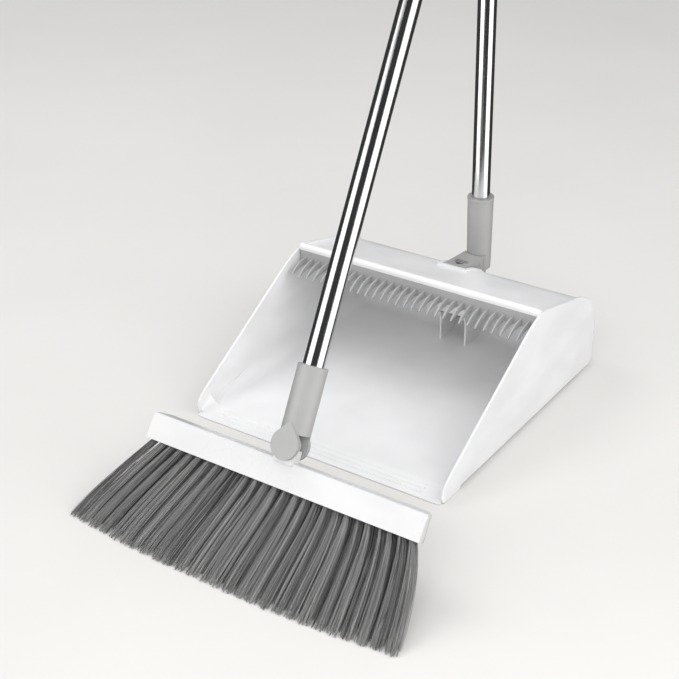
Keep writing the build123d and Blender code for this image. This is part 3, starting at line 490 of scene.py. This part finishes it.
def dress_everything():
    """Every CAD node that shows gets its own slot's finish."""
    pan_axis = Vector((0, -math.sin(PAN_POLE_LEAN), math.cos(PAN_POLE_LEAN)))
    broom_axis = head_z * math.cos(SWIVEL_REST) + head_x * math.sin(SWIVEL_REST)
    steel = turned_steel("turned_steel")
    finishes = {
        "pan_white": moulded(
            "white_plastic", (0.82, 0.82, 0.825), 0.33, scuffs=(4.0, 0.5, 2.0), round_r=0.8 * MM
        ),
        "comb_grey": moulded("comb_plastic", (0.40, 0.40, 0.40), 0.36),
        "block_white": moulded("block_plastic", (0.66, 0.66, 0.665), 0.30, scuffs=(0.6, 3.0, 3.0)),
        "plate_grey": moulded("plate_plastic", (0.22, 0.22, 0.225), 0.5),
        "socket_grey": moulded("socket_plastic", (0.365, 0.363, 0.36), 0.40, scuffs=(3.0, 3.0, 0.6)),
        "joint_grey": moulded("joint_plastic", (0.26, 0.26, 0.265), 0.42),
        "cap_grey": moulded("cap_plastic", (0.42, 0.425, 0.43), 0.40),
        "washer_white": moulded("washer_nylon", (0.78, 0.78, 0.76), 0.45),
        "grip_grey": soft_grip("grip_rubber", (0.34, 0.34, 0.345)),
        "pin_steel": steel,
    }
    tubes = {
        "pan": polished_tube("pan_tube_steel", pan_axis),
        "broom": polished_tube("broom_tube_steel", broom_axis),
    }
    for part in frame["record"]["subparts"]:
        node = part["node"]
        finish = part["material_slot"]
        if finish == "pole_steel":
            dress(node, tubes[node.split("_")[0]])
        elif finish in finishes:
            dress(node, finishes[finish])


# ---------------------------------------------------------------- stage
def add_camera():
    """Camera at the photographed viewing angle."""
    camera = bpy.data.objects.new("camera", bpy.data.cameras.new("camera"))
    camera.data.lens = CAMERA_LENS
    camera.data.sensor_width = 36.0
    camera.data.sensor_fit = "HORIZONTAL"
    camera.data.clip_start = 0.05
    camera.data.clip_end = 60.0
    camera.location = CAMERA_AT
    camera.rotation_euler = (CAMERA_AIM - CAMERA_AT).to_track_quat("-Z", "Y").to_euler()
    scene.collection.objects.link(camera)
    scene.camera = camera


def add_softbox(name, at, aim, size, watts):
    """Rectangular soft light at a place, turned to an aim point and never seen itself."""
    light = bpy.data.lights.new(name, "AREA")
    light.shape = "RECTANGLE"
    light.size, light.size_y = size
    light.energy = watts
    lamp = bpy.data.objects.new(name, light)
    lamp.location = at
    lamp.rotation_euler = (Vector(aim) - Vector(at)).to_track_quat("-Z", "Y").to_euler()
    lamp.visible_camera = False
    scene.collection.objects.link(lamp)
    return lamp


def add_surroundings():
    """Even pale light from all round, which shows much darker in polished metal and gloss."""
    world = bpy.data.worlds.new("surroundings")
    world.use_nodes = True
    tree = world.node_tree
    pale = tree.nodes["Background"]
    pale.inputs["Color"].default_value = (0.985, 0.99, 1.0, 1.0)
    pale.inputs["Strength"].default_value = SURROUND_STRENGTH
    dim = tree.nodes.new("ShaderNodeBackground")
    dim.inputs["Color"].default_value = (0.97, 0.98, 1.0, 1.0)
    dim.inputs["Strength"].default_value = SURROUND_IN_GLOSS
    path = tree.nodes.new("ShaderNodeLightPath")
    mixed = tree.nodes.new("ShaderNodeMixShader")
    tree.links.new(path.outputs["Is Glossy Ray"], mixed.inputs["Fac"])
    tree.links.new(pale.outputs["Background"], mixed.inputs[1])
    tree.links.new(dim.outputs["Background"], mixed.inputs[2])
    tree.links.new(mixed.outputs["Shader"], tree.nodes["World Output"].inputs["Surface"])
    scene.world = world


def add_stage():
    """Plain pale floor and soft lights: one upper left, one in front, and two on each side.

    Neither the front lamp, the side lamps nor the floor shows in reflections, and the sheen
    lamps light nothing but reflections.
    """
    half = FLOOR_HALF
    mesh = bpy.data.meshes.new("floor")
    corners = [(-half, -half, 0), (half, -half, 0), (half, half, 0), (-half, half, 0)]
    mesh.from_pydata(corners, [], [(0, 1, 2, 3)])
    mesh.materials.append(floor_paint("floor_paint"))
    floor = bpy.data.objects.new("floor", mesh)
    floor.location.z = -FLOOR_GAP
    floor.visible_glossy = False
    scene.collection.objects.link(floor)
    add_surroundings()
    aim = LIGHT_AIM
    add_softbox("key_light", KEY_AT, aim, KEY_SIZE, KEY_WATTS)
    fill = add_softbox("front_fill", FILL_AT, FILL_AIM, FILL_SIZE, FILL_WATTS)
    fill.visible_glossy = False
    sides = (("left", (-0.47, -0.88), LEFT_WATTS), ("right", (0.985, 0.02), RIGHT_WATTS))
    for name, (x, y), watts in sides:
        away = Vector((x, y, 0.0)) * SIDE_AWAY
        side = add_softbox(f"{name}_side", away + SIDE_LIFT, aim, SIDE_SIZE, watts)
        side.visible_glossy = False
        # the poles mirror what lies low down, so this one reaches below the floor and lights only gloss
        sheen = add_softbox(f"{name}_sheen", aim + away * SHEEN_NEARER, aim, SHEEN_SIZE, SHEEN_WATTS)
        sheen.visible_diffuse = False
    scene.view_settings.view_transform = "Standard"


add_camera()
add_stage()
dress_everything()
make_bristles(filament_paint("bristle_filament"))
make_pedal_mark(moulded("mark_ink", (0.06, 0.06, 0.065), 0.5))
